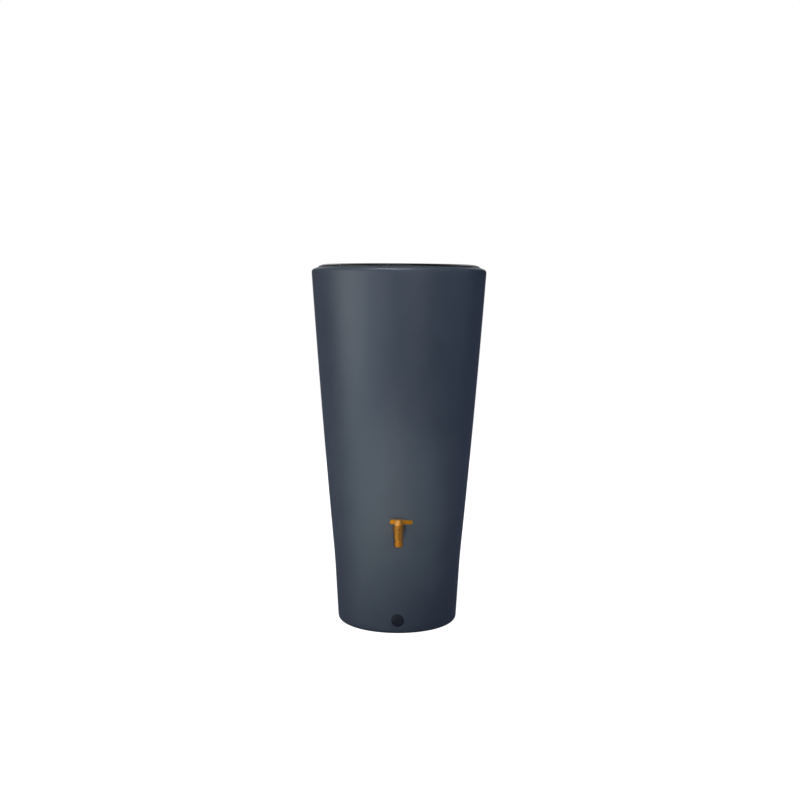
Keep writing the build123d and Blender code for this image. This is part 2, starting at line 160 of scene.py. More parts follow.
def chain(name: str, points: Sequence[Vector]) -> bpy.types.Object:
    """Draws a line of edges in the XZ plane, vertex by vertex, and stays in edit mode.

    Args:
        name: the new object's name.
        points: places across and up, in millimetres.

    Returns:
        The object, with all of it selected.
    """
    bpy.ops.object.select_all(action="DESELECT")
    bpy.ops.mesh.primitive_plane_add(size=MM)
    piece = bpy.context.object
    piece.name = piece.data.name = name
    edit_all(piece)
    bpy.ops.mesh.merge(type="CENTER")
    last = Vector((0, 0))
    for index, point in enumerate(points):
        step = (point - last) * MM
        move = (step.x, 0, step.y)
        if index == 0:
            bpy.ops.transform.translate(value=move)
        else:
            bpy.ops.mesh.extrude_region_move(TRANSFORM_OT_translate={"value": move})
        last = point
    bpy.ops.mesh.select_all(action="SELECT")
    return piece


def turned(
    name: str, corners: Sequence[Corner], steps: int = 96, closed: bool = False
) -> bpy.types.Object:
    """Spins an outline once round the upright axis into a closed solid.

    Args:
        name: the new object's name.
        corners: the outline's corners in order.
        steps: faces round the axis.
        closed: whether the last corner joins the first; otherwise both lie on the axis.

    Returns:
        The turned object.
    """
    piece = chain(name, rounded(corners, closed))
    bpy.ops.mesh.spin(steps=steps, angle=math.tau, center=(0, 0, 0), axis=(0, 0, 1))
    bpy.ops.mesh.select_all(action="SELECT")
    bpy.ops.mesh.remove_doubles(threshold=SAME_POINT)
    bpy.ops.mesh.dissolve_degenerate(threshold=TURNED_SLIVER)
    bpy.ops.mesh.select_all(action="SELECT")
    bpy.ops.mesh.normals_make_consistent(inside=False)
    bpy.ops.object.mode_set(mode="OBJECT")
    return piece


def block(name: str, size: Vector, centre: Vector, edge: float) -> bpy.types.Object:
    """Makes a box with rounded edges.

    Args:
        name: the new object's name.
        size: its length along each axis, in millimetres.
        centre: its middle, in millimetres.
        edge: the rounding of its edges, in millimetres.

    Returns:
        The box.
    """
    bpy.ops.object.select_all(action="DESELECT")
    bpy.ops.mesh.primitive_cube_add(size=1, location=centre * MM, scale=size * MM)
    piece = bpy.context.object
    piece.name = piece.data.name = name
    settle(piece)
    edit_all(piece)
    bpy.ops.mesh.bevel(offset=edge * MM, segments=3, affect="EDGES")
    bpy.ops.object.mode_set(mode="OBJECT")
    return piece


def four_blocks(name: str, size: Vector, centre: Vector, edge: float) -> list[bpy.types.Object]:
    """Makes four boxes with rounded edges round the Z axis, on the diagonals.

    Args:
        name: the new objects' name.
        size: a box's length along each axis, in millimetres.
        centre: the middle of a box before it is turned to its diagonal, in millimetres.
        edge: the rounding of its edges, in millimetres.

    Returns:
        The boxes.
    """
    blocks = []
    for quarter in range(4):
        piece = block(name, size, centre, edge)
        piece.rotation_euler = (0, 0, math.radians(45 + 90 * quarter))
        settle(piece)
        blocks.append(piece)
    return blocks


def settle(piece: bpy.types.Object) -> None:
    """Moves an object's place, turn and scale into its mesh."""
    select_only(piece)
    bpy.ops.object.transform_apply(location=True, rotation=True, scale=True)


def stand(piece: bpy.types.Object, place: Vector, facing: Facing = Facing.UP) -> bpy.types.Object:
    """Puts a piece that was made round the Z axis where it belongs.

    Args:
        piece: the piece, made about the origin.
        place: where its origin goes, in metres.
        facing: where its own axis points.

    Returns:
        The same piece.
    """
    piece.rotation_euler = (facing.value, 0, 0)
    piece.location = place
    settle(piece)
    return piece


def shape(piece: bpy.types.Object, shaping: Shaping, *tools: bpy.types.Object) -> None:
    """Adds tools to a piece or cuts them out of it, and removes the tools.

    Args:
        piece: the piece that stays.
        shaping: whether the tools are added or cut out.
        tools: the solids that change it.
    """
    if len(tools) > 1:
        select_only(*tools)
        bpy.ops.object.join()
    select_only(piece)
    bpy.ops.object.modifier_add(type="BOOLEAN")
    modifier = piece.modifiers[-1]
    modifier.operation = shaping.value
    modifier.solver = "EXACT"
    modifier.object = tools[0]
    bpy.ops.object.modifier_apply(modifier=modifier.name)
    bpy.data.objects.remove(tools[0], do_unlink=True)


def soften(piece: bpy.types.Object, voxel: float, rounds: int) -> None:
    """Blends the edges and inner corners of a cast piece, as its mould does.

    Args:
        piece: a closed solid.
        voxel: size of the new faces, in millimetres.
        rounds: how often each vertex moves towards its neighbours.
    """
    select_only(piece)
    piece.data.remesh_voxel_size = voxel * MM
    bpy.ops.object.voxel_remesh()
    edit_all(piece)
    bpy.ops.mesh.vertices_smooth(factor=0.5, repeat=rounds)
    bpy.ops.object.mode_set(mode="OBJECT")


def finish_piece(
    piece: bpy.types.Object,
    body: Body,
    material: bpy.types.Material,
    node: str,
) -> None:
    """Shades and dresses a finished piece, parents it to its body and hides the CAD node that it stands
    for.

    Args:
        piece: the piece in its place.
        body: the body that it moves with.
        material: its material.
        node: the CAD node that it stands for.
    """
    edit_all(piece)
    bpy.ops.mesh.dissolve_degenerate(threshold=FINISHED_SLIVER)
    bpy.ops.object.mode_set(mode="OBJECT")
    select_only(piece)
    bpy.ops.object.shade_smooth_by_angle(angle=SHARP_ANGLE)
    piece.data.materials.clear()
    piece.data.materials.append(material)
    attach(piece, body.value)
    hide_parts(node)
    log.info("%s: %d faces, stands for %s", piece.name, len(piece.data.polygons), node)


def dress_nodes(material: bpy.types.Material, *nodes: str) -> None:
    """Gives CAD nodes that stay in view their material.

    Args:
        material: the material.
        nodes: the CAD nodes' names.
    """
    for name in nodes:
        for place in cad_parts[name].material_slots:
            place.material = material
        log.info("%s: CAD node, %s", name, material.name)


def middle(node: str) -> Vector:
    """The middle of a CAD node's box, in metres."""
    low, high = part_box(node)
    return (low + high) / 2


# ---------------------------------------------------------------- finishes


def linear(colour: str) -> tuple[float, float, float, float]:
    """Turns an sRGB hex colour into linear red, green, blue and alpha.

    Args:
        colour: six hex digits.

    Returns:
        The four linear values, the last one 1.
    """
    levels = [int(colour[place : place + 2], 16) / 255 for place in (0, 2, 4)]
    curve = [level / 12.92 if level <= 0.04045 else ((level + 0.055) / 1.055) ** 2.4 for level in levels]
    return (curve[0], curve[1], curve[2], 1.0)


def add_node(
    tree: bpy.types.NodeTree,
    kind: str,
    settings: dict[str, object] | None = None,
    links: dict[str, bpy.types.NodeSocket] | None = None,
) -> bpy.types.Node:
    """Adds a node with its settings and links.

    Args:
        tree: the node tree.
        kind: the node's type.
        settings: values by the name of an input.
        links: sockets by the name of the input that each one feeds.

    Returns:
        The new node.
    """
    node = tree.nodes.new(kind)
    for name, value in (settings or {}).items():
        node.inputs[name].default_value = value
    for name, socket in (links or {}).items():
        tree.links.new(socket, node.inputs[name])
    return node


@dataclass(frozen=True)
class Finish:
    """A surface with two close shades, an uneven gloss and two sizes of relief; sizes in millimetres."""

    name: str
    light: str
    dark: str
    patch: float  # size of the patches where one shade gives way to the other
    gloss: float  # lowest roughness
    matt: float  # highest roughness
    grain: float  # size of the fine relief
    grain_depth: float
    wave: float  # size of the slow unevenness
    wave_depth: float
    metallic: float = 0.0
    ior: float = 1.5
    coat: float = 0.0
    coat_roughness: float = 0.1
    stretch: tuple[float, float, float] = (1.0, 1.0, 1.0)  # draws the grain out along an axis

    def relief(self, tree: bpy.types.NodeTree, place: bpy.types.NodeSocket) -> bpy.types.NodeSocket:
        """Fine grain over a slow wave.

        Args:
            tree: the material's nodes.
            place: the object coordinates.

        Returns:
            The bent normal.
        """
        stretched = add_node(tree, "ShaderNodeMapping", {"Scale": self.stretch}, {"Vector": place})
        wave = add_node(
            tree, "ShaderNodeTexNoise", {"Scale": 1 / (self.wave * MM), "Detail": 1.0}, {"Vector": place}
        )
        grain = add_node(
            tree,
            "ShaderNodeTexNoise",
            {"Scale": 1 / (self.grain * MM), "Detail": 3.0},
            {"Vector": stretched.outputs["Vector"]},
        )
        slow = add_node(
            tree,
            "ShaderNodeBump",
            {"Strength": 1.0, "Distance": self.wave_depth * MM},
            {"Height": wave.outputs["Fac"]},
        )
        fine = add_node(
            tree,
            "ShaderNodeBump",
            {"Strength": 1.0, "Distance": self.grain_depth * MM},
            {"Height": grain.outputs["Fac"], "Normal": slow.outputs["Normal"]},
        )
        return fine.outputs["Normal"]

    def make(self) -> bpy.types.Material:
        """Builds the material.

        Returns:
            The material.
        """
        material = bpy.data.materials.new(self.name)
        material.use_nodes = True
        tree = material.node_tree
        shader = tree.nodes["Principled BSDF"]
        place = add_node(tree, "ShaderNodeTexCoord").outputs["Object"]
        patches = add_node(
            tree, "ShaderNodeTexNoise", {"Scale": 1 / (self.patch * MM), "Detail": 4.0}, {"Vector": place}
        )
        shades = add_node(tree, "ShaderNodeValToRGB", links={"Fac": patches.outputs["Fac"]})
        low, high = shades.color_ramp.elements
        low.position = NOISE_LOW
        low.color = linear(self.dark)
        high.position = NOISE_HIGH
        high.color = linear(self.light)
        rubbed = add_node(
            tree,
            "ShaderNodeMapRange",
            {"From Min": NOISE_LOW, "From Max": NOISE_HIGH, "To Min": self.gloss, "To Max": self.matt},
            {"Value": patches.outputs["Fac"]},
        )
        tree.links.new(shades.outputs["Color"], shader.inputs["Base Color"])
        tree.links.new(rubbed.outputs["Result"], shader.inputs["Roughness"])
        tree.links.new(self.relief(tree, place), shader.inputs["Normal"])
        shader.inputs["Metallic"].default_value = self.metallic
        if not self.metallic:
            shader.inputs["IOR"].default_value = self.ior
        if self.coat:
            shader.inputs["Coat Weight"].default_value = self.coat
            shader.inputs["Coat Roughness"].default_value = self.coat_roughness
        return material


ROUND_ITS_AXIS = (0.15, 0.15, 1.0)  # draws a turned piece's grain out round its upright axis

# Linear low-density polyethylene, rotationally moulded with its colour in the powder: a satin, slightly
# uneven skin with a broad soft highlight. The real grain is under a millimetre, and drawn a little coarser.
ROTOMOULDED = Finish(
    "rotomoulded_polyethylene", light="434c57", dark="3f4853", patch=90.0, gloss=0.40, matt=0.46,
    grain=1.6, grain_depth=0.035, wave=160.0, wave_depth=0.5,
)
# Black polyethylene, rotationally moulded: the same skin with carbon black in it.
BLACK_POLYETHYLENE = Finish(
    "black_moulded_polyethylene", light="0a0b0d", dark="070809", patch=60.0, gloss=0.26, matt=0.34,
    grain=1.4, grain_depth=0.03, wave=120.0, wave_depth=0.3,
)
# Hot-stamped brass, turned, polished and lacquered: amber in the shade, pale where a light is mirrored.
LACQUERED_BRASS = Finish(
    "lacquered_turned_brass", light="ae7514", dark="a66d10", patch=9.0, gloss=0.46, matt=0.50,
    grain=0.5, grain_depth=0.001, wave=14.0, wave_depth=0.004,
    metallic=1.0, coat=0.7, coat_roughness=0.08, stretch=ROUND_ITS_AXIS,
)
# The same brass on the hose thread, with a thinner lacquer and painted a little paler: a lit copy of the
# column's brass that offsets the shade in the thread's grooves.
PALER_LIT_THREAD_BRASS = Finish(
    "lacquered_brass_painted_paler", light="dc9c38", dark="d49430", patch=9.0, gloss=0.50, matt=0.54,
    grain=0.5, grain_depth=0.001, wave=14.0, wave_depth=0.004,
    metallic=1.0, coat=0.2, coat_roughness=0.15, stretch=ROUND_ITS_AXIS,
)
# Free-cutting brass as it comes off the lathe: yellower and duller, with fine tool marks round its axis.
MACHINED_BRASS = Finish(
    "machined_brass", light="c9a45c", dark="b8934c", patch=8.0, gloss=0.28, matt=0.40,
    grain=0.4, grain_depth=0.006, wave=12.0, wave_depth=0.02, metallic=1.0, stretch=ROUND_ITS_AXIS,
)
# EPDM rubber, compression moulded: nearly black and matt, with a faint grey bloom.
EPDM_RUBBER = Finish(
    "epdm_rubber", light="1c1c1e", dark="121213", patch=12.0, gloss=0.62, matt=0.78,
    grain=0.7, grain_depth=0.012, wave=20.0, wave_depth=0.05, ior=1.52,
)
# Alumina ceramic, lapped flat: bone white and evenly smooth.
ALUMINA = Finish(
    "lapped_alumina_ceramic", light="efece2", dark="e6e2d6", patch=6.0, gloss=0.12, matt=0.2,
    grain=0.3, grain_depth=0.002, wave=8.0, wave_depth=0.01, ior=1.76,
)
# Stainless steel, cold formed: grey with fine scratches that are drawn out upwards.
STAINLESS = Finish(
    "stainless_steel", light="b9bbbd", dark="a8aaac", patch=5.0, gloss=0.26, matt=0.38,
    grain=0.3, grain_depth=0.004, wave=8.0, wave_depth=0.01, metallic=1.0, stretch=(1.0, 1.0, 0.12),
)
# Polypropylene, injection moulded against a spark-eroded steel: dark navy grey, even and low in gloss.
DARK_POLYPROPYLENE = Finish(
    "dark_moulded_polypropylene", light="171c2c", dark="131725", patch=18.0, gloss=0.42, matt=0.52,
    grain=0.6, grain_depth=0.012, wave=30.0, wave_depth=0.05, ior=1.49,
)
# Glass-filled polypropylene, injection moulded: black with a dry, faintly cloudy skin.
BLACK_POLYPROPYLENE = Finish(
    "black_moulded_polypropylene", light="1a1a1c", dark="121214", patch=15.0, gloss=0.45, matt=0.6,
    grain=0.5, grain_depth=0.015, wave=30.0, wave_depth=0.06, ior=1.49,
)


# ---------------------------------------------------------------- sub-assemblies


@dataclass
class Pad:
    """A flat round pad in the barrel's wall, with its boss inside; sizes in millimetres."""

    place: Vector  # middle of its face, in metres
    facing: Facing
    radius: float
    hole: float
    boss: float
    recess: float  # how far the face lies under the wall
    boss_round: float = 2.0
    boss_margin: float = 0.1  # how much slimmer the boss is than the face
    boss_excess: float = 3.0  # how far the boss stands out before the face is cut
    edge: float = 1.6
    edge_slope: float = 4.5  # how much wider the cut gets on its way out
    groove: float = 0.6  # width of the groove round a pad with no recess
    groove_round: float = 0.5
    groove_rise: float = 4.0  # height that the slope gains there past the edge
    recess_floor_round: float = 2.0
    recess_edge_round: float = 3.0
    recess_rise: float = 3.5  # height that the slope gains past a recess
    through: float = 8.0  # how far the hole's cut runs on past the boss
    reach: float = 9.0  # how far the cut runs out past the wall

    def make_boss(self) -> bpy.types.Object:
        """The solid boss, which the cutter opens.

        Returns:
            The boss in its place.
        """
        outer = self.radius - self.boss_margin
        top = self.boss_excess - self.recess / 2
        corners = [
            Corner(0, -self.boss),
            Corner(outer, -self.boss, self.boss_round),
            Corner(outer, top),
            Corner(0, top),
        ]
        return stand(turned("boss", corners, 72), self.place, self.facing)

    def make_cutter(self) -> bpy.types.Object:
        """The cutter that makes the hole, the flat face and a soft edge round it.

        Returns:
            The cutter in its place.
        """
        wide = self.radius + self.edge_slope
        if self.recess > 0:
            rim = [
                Corner(self.radius, 0, self.recess_floor_round),
                Corner(self.radius, self.recess - self.edge, self.recess_edge_round),
                Corner(wide, self.recess + self.recess_rise),
            ]
        else:
            deep = -self.edge - self.boss_margin
            rim = [
                Corner(self.radius, 0, self.edge),
                Corner(self.radius, deep),
                Corner(self.radius + self.groove, deep, self.groove_round),
                Corner(wide, self.edge + self.groove_rise),
            ]
        corners = [
            Corner(0, -self.boss - self.through),
            Corner(self.hole, -self.boss - self.through),
            Corner(self.hole, 0),
            *rim,
            Corner(wide, self.reach),
            Corner(0, self.reach),
        ]
        return stand(turned("cutter", corners), self.place, self.facing)


@dataclass
class Barrel:
    """The hollow barrel; sizes in millimetres."""

    foot_radius: float = 200.4
    knee_radius: float = 212.9
    knee_height: float = 215.0
    knee_blend: float = 44.0  # half the height over which the foot turns into the wall
    top_radius: float = 291.0
    corner_height: float = 1181.0
    bulge: float = 3.0
    wall: float = 5.0
    foot_round: float = 12.0
    corner_round: float = 12.0
    base_rise: float = 10.0
    base_panel_radius: float = 150.0
    base_ramp: float = 16.0
    base_round: float = 8.0
    inner_base_round: float = 5.0
    inner_base_shift: float = 2.0  # how much farther out the base's step lies inside
    mouth_radius: float = 252.0
    mouth_round: float = 7.0
    land_height: float = 1190.5
    land_radius: float = 268.0
    land_round: float = 8.0
    collar_depth: float = 34.0
    collar_round: float = 1.6
    collar_root_round: float = 2.0
    lug_circle: float = 265.0
    lug_size: tuple[float, float, float] = (6.0, 12.0, 4.0)
    lug_root: float = 2.0  # how deep the lugs reach into the land
    lug_round: float = 1.0
    row: float = 8.0  # height of one row of faces outside
    first_row: int = 3  # the first row's number, above the foot's rounding
    inner_row: int = 8  # rows outside for one row inside
    steps: int = 256

    def wall_radius(self, height: float) -> float:
        """Outside radius at a height: a steep foot, a soft knee and a long slightly swelling wall.

        Args:
            height: the height above the ground, in millimetres.

        Returns:
            The radius, in millimetres.
        """
        rise = self.corner_height - self.knee_height
        flare = self.top_radius - self.knee_radius
        steep = (self.knee_radius - self.foot_radius) / self.knee_height
        bend = (flare + 4 * self.bulge) / rise - steep
        past = height - self.knee_height
        if past < self.knee_blend:
            eased = max(0.0, past + self.knee_blend) ** 2 / (4 * self.knee_blend)
            return self.knee_radius + steep * past + bend * eased
        share = past / rise
        return self.knee_radius + flare * share + 4 * self.bulge * share * (1 - share)

    def outline(self) -> list[Corner]:
        """The section of the moulding, from the middle of the base outside round to its inside.

        Returns:
            The section's corners.
        """
        rows = int((self.corner_height - 2 * self.corner_round) / self.row)
        outside = [self.row * step for step in range(self.first_row, rows + 1)]
        inside = [height for height in outside[::-1] if height % (self.inner_row * self.row) == 0]
        thick = self.wall
        ramp_end = self.base_panel_radius + self.base_ramp
        collar_end = self.land_height - self.collar_depth
        return [
            Corner(0, self.base_rise),
            Corner(self.base_panel_radius, self.base_rise, self.base_round),
            Corner(ramp_end, 0, self.base_round),
            Corner(self.foot_radius, 0, self.foot_round),
            *[Corner(self.wall_radius(height), height) for height in outside],
            Corner(self.top_radius, self.corner_height, self.corner_round),
            Corner(self.land_radius, self.land_height, self.land_round),
            Corner(self.mouth_radius, self.land_height, self.mouth_round),
            Corner(self.mouth_radius, collar_end, self.collar_round),
            Corner(self.mouth_radius + thick, collar_end, self.collar_round),
            Corner(self.mouth_radius + thick, self.land_height - thick, self.collar_root_round),
            Corner(self.land_radius, self.land_height - thick, self.land_round),
            Corner(self.top_radius - thick, self.corner_height - thick, self.corner_round - thick),
            *[Corner(self.wall_radius(height) - thick, height) for height in inside],
            Corner(self.foot_radius - thick, thick, self.foot_round - thick),
            Corner(ramp_end + self.inner_base_shift, thick, self.inner_base_round),
            Corner(
                self.base_panel_radius + self.inner_base_shift,
                self.base_rise + thick,
                self.inner_base_round,
            ),
            Corner(0, self.base_rise + thick),
        ]

    def pads(self) -> list[Pad]:
        """The pads for the tap, the drain and the filling hose, placed by the pieces that sit on them.

        Returns:
            The three pads.
        """
        tap = middle("tap_washer")
        tap.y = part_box("tap_washer")[1].y
        drain = middle("drain_seal")
        drain.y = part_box("drain_bush")[0].y
        inlet = middle("inlet_seal")
        inlet.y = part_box("inlet_seal")[0].y
        return [
            Pad(tap, Facing.FRONT, radius=23.0, hole=17.0, boss=16.0, recess=0.0),
            Pad(drain, Facing.FRONT, radius=20.0, hole=14.1, boss=14.0, recess=5.0),
            Pad(inlet, Facing.REAR, radius=32.0, hole=17.1, boss=8.0, recess=0.0),
        ]

    def lugs(self) -> list[bpy.types.Object]:
        """The four small lugs on the land round the mouth.

        Returns:
            The lugs.
        """
        length, width, height = self.lug_size
        size = Vector((length, width, height + self.lug_root))
        centre = Vector((self.lug_circle, 0, self.land_height + (height - self.lug_root) / 2))
        return four_blocks("lug", size, centre, self.lug_round)

    def build(self) -> bpy.types.Object:
        """Models the barrel.

        Returns:
            The shell.
        """
        shell = turned("barrel_moulding", self.outline(), self.steps)
        pads = self.pads()
        shape(shell, Shaping.ADD, *[pad.make_boss() for pad in pads], *self.lugs())
        shape(shell, Shaping.CUT, *[pad.make_cutter() for pad in pads])
        return shell

    def dress(self) -> None:
        """Models the barrel and gives it its finish."""
        finish_piece(self.build(), Body.BARREL, ROTOMOULDED.make(), "barrel_shell")


@dataclass
class Planter:
    """The bowl that hangs in the mouth, with its drain insert; sizes in millimetres."""

    lip_radius: float = 267.0
    lip_crown_radius: float = 252.0
    lip_crown_round: float = 12.0
    lip_height: float = 8.0
    lip_edge: float = 2.5
    lip_edge_round: float = 1.6
    lip_foot_round: float = 0.5
    lip_rim: float = 10.0
    lip_skin: float = 5.0
    skin_round: float = 1.0
    mouth_radius: float = 249.0
    mouth_round: float = 2.8
    depth: float = 165.0
    floor_radius: float = 226.0
    floor_round: float = 24.0
    floor_draft: float = 0.5  # how much thinner the wall is at the floor
    wall: float = 4.0
    hole: float = 24.0
    edge_round: float = 0.8
    notch_circle: float = 265.0
    notch_drop: float = 4.0  # from the lip's top down to a notch's middle
    notch_size: tuple[float, float, float] = (8.0, 14.0, 12.0)
    notch_round: float = 1.2
    steps: int = 224

    def outline(self, top: float) -> list[Corner]:
        """The bowl's closed section.

        Args:
            top: height of the lip's top, in millimetres.

        Returns:
            The section's corners.
        """
        rest = top - self.lip_height
        floor = rest - self.depth
        inner_floor = floor + self.wall
        ledge = rest + self.lip_height - self.lip_skin
        hollow = self.lip_radius - self.lip_rim
        inner_radius = self.floor_radius - self.wall + self.floor_draft
        return [
            Corner(self.hole, floor, self.edge_round),
            Corner(self.floor_radius, floor, self.floor_round),
            Corner(self.mouth_radius, ledge, self.skin_round),
            Corner(hollow, ledge, self.skin_round),
            Corner(hollow, rest, self.edge_round),
            Corner(self.lip_radius, rest, self.lip_foot_round),
            Corner(self.lip_radius, rest + self.lip_edge, self.lip_edge_round),
            Corner(self.lip_crown_radius, top, self.lip_crown_round),
            Corner(self.mouth_radius - self.wall, top, self.mouth_round),
            Corner(inner_radius, inner_floor, self.floor_round - self.wall),
            Corner(self.hole, inner_floor, self.edge_round),
        ]

    def build(self) -> bpy.types.Object:
        """Models the bowl with a notch in its lip for each lug.

        Returns:
            The bowl.
        """
        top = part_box("planter_bowl")[1].z / MM
        bowl = turned("bowl_moulding", self.outline(top), self.steps, closed=True)
        centre = Vector((self.notch_circle, 0, top - self.notch_drop))
        notches = four_blocks("notch", Vector(self.notch_size), centre, self.notch_round)
        shape(bowl, Shaping.CUT, *notches)
        return bowl

    def dress(self) -> None:
        """Models the bowl and dresses it and its drain insert."""
        black = BLACK_POLYETHYLENE.make()
        finish_piece(self.build(), Body.PLANTER, black, "planter_bowl")
        dress_nodes(black, "planter_strainer")


@dataclass
class Tap:
    """The lever tap, from its thread in the wall to the hose nozzle; sizes in millimetres."""

    overrun: float = 5.0  # how far a cutter runs out past the metal
    column_radius: float = 15.0
    column_round: float = 1.5
    column_below: float = 21.0  # from the pipe's axis down to the column's bottom
    column_above: float = 14.0  # and up to its top
    column_excess: float = 2.0  # metal over the top that is machined away
    pipe_length: float = 56.0  # from the wall's pad almost to the column's axis
    pipe_radius: float = 12.0
    pipe_bore: float = 8.0
    pipe_fillet: float = 2.0
    thread_radius: float = 13.2
    thread_round: float = 0.8
    tail: float = 14.0
    washer_radius: float = 19.0
    washer_height: float = 2.5
    washer_squeeze: float = 0.3  # how far the middle of its rim stands out
    washer_round: float = 0.4
    washer_rim_round: float = 1.2
    washer_gap: float = 0.1
    rosette_radius: float = 17.5
    rosette_height: float = 5.0
    rosette_back_round: float = 0.6
    rosette_face_round: float = 1.6
    casting_voxel: float = 0.5
    casting_rounds: int = 3
    seat_drop: float = 8.0  # from the pipe's axis down to the valve seat
    seat_height: float = 4.0
    seat_bore: float = 5.0
    outlet_bore: float = 10.0
    chamber_bore: float = 12.0
    headwork_bore: float = 10.5
    headwork_depth: float = 9.0
    hub_radius: float = 15.5
    hub_top_radius: float = 11.5
    hub_foot_round: float = 1.5
    hub_top_round: float = 1.8
    hub_rows: int = 6  # rows of faces up the hub's curved side
    lever_voxel: float = 0.45
    lever_rounds: int = 6
    bar_long_end: float = 44.0
    bar_short_end: float = 28.0
    bar_depth: float = 11.0
    bar_height: float = 15.0
    bar_fall: float = 3.0
    bar_lift: float = 5.0
    bar_long_round: float = 4.0
    bar_short_round: float = 7.0
    bar_crest_round: float = 60.0
    bar_taper: float = 0.009  # share of the bar's depth lost with each millimetre past the hub
    spindle_room: float = 6.6  # radius of the room round the spindle's shoulder
    spindle_room_depth: float = 2.0
    square_width: float = 6.2
    square_round: float = 0.2
    square_gap: float = 0.3
    screw_bore: float = 2.1
    screw_head_room: float = 4.3
    screw_seat: float = 2.9  # from the spindle's end up to the screw's seat
    cap_radius: float = 6.0
    cap_height: float = 1.8
    cap_gap: float = 0.1
    cap_foot_round: float = 0.3
    cap_dome: float = 0.45  # how far the cap's edge lies under its middle
    cap_edge_round: float = 0.5
    cap_crown: float = 0.6  # share of its radius where the dome flattens
    cap_crown_drop: float = 0.1
    cap_crown_round: float = 4.0
    nozzle_bore: float = 7.0
    nozzle_edge_round: float = 0.4
    nozzle_spigot_radius: float = 9.9
    nozzle_groove: float = 3.0  # height of the groove between the thread and the column
    nozzle_groove_radius: float = 11.5
    nozzle_chamfer: float = 1.2
    thread_rows: int = 5  # rows of faces in each millimetre of thread
    thread_first_row: int = 7  # rows left out above the tip
    thread_last_row: int = 5  # and under the groove
    thread_pitch: float = 1.814  # of a 3/4 inch pipe thread
    thread_depth: float = 0.9
    thread_crest: float = 1.45  # the flanks would meet at this many depths over the root
    thread_slope: float = 4.4  # depths that a flank falls over one pitch
    thread_start: float = 0.8  # plain metal at each end of the thread
    thread_fade: float = 2.0  # length over which the thread reaches its depth
    thread_surface: float = 0.05  # how near to the thread's cylinder a vertex counts as on it
    fine_steps: int = 72
    bore_steps: int = 64
    axis: Vector = field(init=False)  # foot of the column's upright axis, in metres
    face: Vector = field(init=False)  # middle of the wall's pad, in metres
    bottom: float = field(init=False)
    top: float = field(init=False)
    hub_bottom: float = field(init=False)
    hub_top: float = field(init=False)
    spindle_top: float = field(init=False)
    nozzle_tip: float = field(init=False)
    nozzle_top: float = field(init=False)

    def __post_init__(self) -> None:
        """Reads the tap's places from the CAD parts in model.glb."""
        self.axis = middle("spindle")
        self.axis.z = 0
        self.face = middle("tap_washer")
        self.face.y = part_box("tap_washer")[1].y
        self.bottom = self.face.z / MM - self.column_below
        self.top = self.face.z / MM + self.column_above
        self.hub_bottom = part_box("tap_lever")[0].z / MM
        self.hub_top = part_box("tap_lever")[1].z / MM
        self.spindle_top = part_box("spindle")[1].z / MM
        self.nozzle_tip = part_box("hose_nozzle")[0].z / MM
        self.nozzle_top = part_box("hose_nozzle")[1].z / MM

    def build_casting(self) -> bpy.types.Object:
        """Models the column with its pipe and rosette as one casting.

        Returns:
            The casting, with metal left over its top.
        """
        top = self.top + self.column_excess
        column_corners = [
            Corner(0, self.bottom),
            Corner(self.column_radius, self.bottom, self.column_round),
            Corner(self.column_radius, top),
            Corner(0, top),
        ]
        column = stand(turned("tap_casting", column_corners), self.axis)
        rosette_top = self.washer_height + self.rosette_height
        pipe_corners = [
            Corner(0, -self.tail),
            Corner(self.thread_radius, -self.tail, self.thread_round),
            Corner(self.thread_radius, self.washer_height),
            Corner(self.rosette_radius, self.washer_height, self.rosette_back_round),
            Corner(self.rosette_radius, rosette_top, self.rosette_face_round),
            Corner(self.pipe_radius, rosette_top, self.pipe_fillet),
            Corner(self.pipe_radius, self.pipe_length),
            Corner(0, self.pipe_length),
        ]
        shape(column, Shaping.ADD, stand(turned("pipe", pipe_corners), self.face, Facing.FRONT))
        soften(column, self.casting_voxel, self.casting_rounds)
        return column

    def build_body(self) -> bpy.types.Object:
        """Models the casting and machines its top and its bores.

        Returns:
            The tap's body.
        """
        body = self.build_casting()
        seat = self.face.z / MM - self.seat_drop
        headwork_end = self.top - self.headwork_depth
        low = self.bottom - self.overrun
        high = self.top + self.overrun
        outside = 2 * self.column_radius
        inside_corners = [
            Corner(0, low),
            Corner(self.outlet_bore, low),
            Corner(self.outlet_bore, seat - self.seat_height),
            Corner(self.seat_bore, seat - self.seat_height),
            Corner(self.seat_bore, seat),
            Corner(self.chamber_bore, seat),
            Corner(self.chamber_bore, headwork_end),
            Corner(self.headwork_bore, headwork_end),
            Corner(self.headwork_bore, self.top),
            Corner(outside, self.top),
            Corner(outside, high),
            Corner(0, high),
        ]
        inside = turned("inside", inside_corners)
        bore_corners = [
            Corner(0, -self.tail - self.overrun),
            Corner(self.pipe_bore, -self.tail - self.overrun),
            Corner(self.pipe_bore, self.pipe_length),
            Corner(0, self.pipe_length),
        ]
        bore = turned("bore", bore_corners, self.bore_steps)
        shape(body, Shaping.CUT, stand(inside, self.axis))
        shape(body, Shaping.CUT, stand(bore, self.face, Facing.FRONT))
        return body

    def build_washer(self) -> bpy.types.Object:
        """Models the washer behind the rosette, its rim a little squeezed out.

        Returns:
            The washer.
        """
        hole = self.thread_radius + self.washer_gap
        rim = self.washer_radius - self.washer_squeeze
        corners = [
            Corner(hole, 0),
            Corner(rim, 0, self.washer_round),
            Corner(self.washer_radius, self.washer_height / 2, self.washer_rim_round),
            Corner(rim, self.washer_height, self.washer_round),
            Corner(hole, self.washer_height),
        ]
        return stand(turned("tap_seal_ring", corners, closed=True), self.face, Facing.FRONT)

